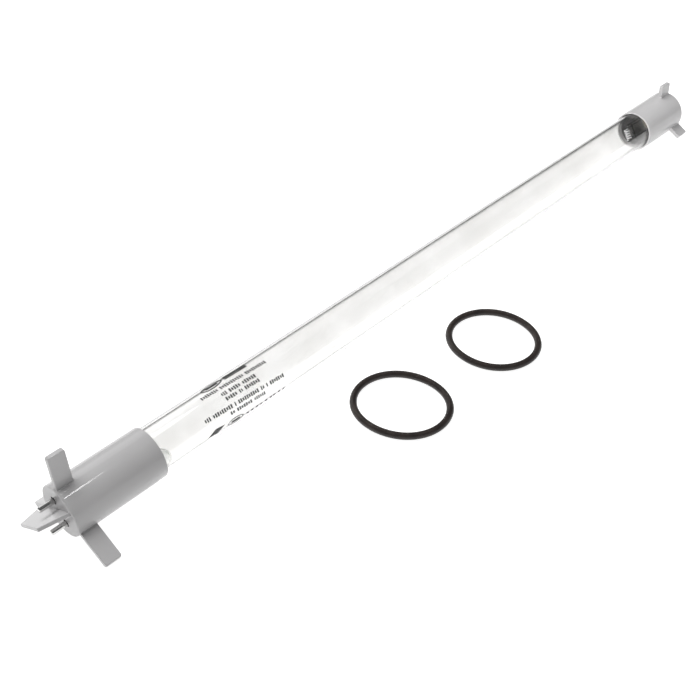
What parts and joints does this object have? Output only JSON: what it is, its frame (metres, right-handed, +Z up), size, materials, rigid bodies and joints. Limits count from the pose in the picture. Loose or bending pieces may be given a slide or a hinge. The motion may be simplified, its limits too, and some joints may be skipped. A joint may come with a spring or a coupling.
{
  "type": "uv clarifier lamp kit",
  "caption": "Clear tubular UV lamp with finned white end caps, two-pin contacts at both ends and a keying blade, with two loose sealing rings.",
  "frame": {"origin": "bottom centre of everything, on the surface that the lamp and the rings lie on", "axes": "+X along the lamp from the keyed near end to the far end, +Y away from the rings, +Z up"},
  "size_m": [0.5672, 0.1206, 0.053],
  "materials": {
    "clear_glass": "polished clear",
    "cap_plastic": "satin moulded",
    "carrier": "pressed board",
    "cement": "dull dark",
    "stem_glass": "clear",
    "pin_metal": "nickel plated",
    "post_wire": "oxidised",
    "lead_wire": "drawn copper-clad",
    "filament_wire": "coated",
    "amalgam": "dull silver",
    "seal_rubber": "satin"
  },
  "bodies": {
    "lamp": {"quartz_tube": "clear_glass", "near_end_cap": "cap_plastic", "near_pin_carrier": "carrier", "near_cement_sleeve": "cement", "near_glass_stem": "stem_glass", "near_exhaust_stub": "stem_glass", "near_filament": "filament_wire", "near_pin_upper": "pin_metal", "near_post_upper": "post_wire", "near_lead_upper": "lead_wire", "near_pin_lower": "pin_metal", "near_post_lower": "post_wire", "near_lead_lower": "lead_wire", "far_end_cap": "cap_plastic", "far_pin_carrier": "carrier", "far_cement_sleeve": "cement", "far_glass_stem": "stem_glass", "far_exhaust_stub": "stem_glass", "far_filament": "filament_wire", "far_pin_upper": "pin_metal", "far_post_upper": "post_wire", "far_lead_upper": "lead_wire", "far_pin_lower": "pin_metal", "far_post_lower": "post_wire", "far_lead_lower": "lead_wire", "amalgam_capsule": "stem_glass", "capsule_support_wire": "post_wire", "amalgam_pellet": "amalgam"},
    "ring_a": {"o_ring_a": "seal_rubber"},
    "ring_b": {"o_ring_b": "seal_rubber"}
  },
  "joints": [
    {"name": "ring_a_lift", "type": "slide", "parent": "lamp", "child": "ring_a", "axis": [0, 0, 1], "range_m": [0, 0.05]},
    {"name": "ring_b_lift", "type": "slide", "parent": "lamp", "child": "ring_b", "axis": [0, 0, 1], "range_m": [0, 0.05]}
  ]
}
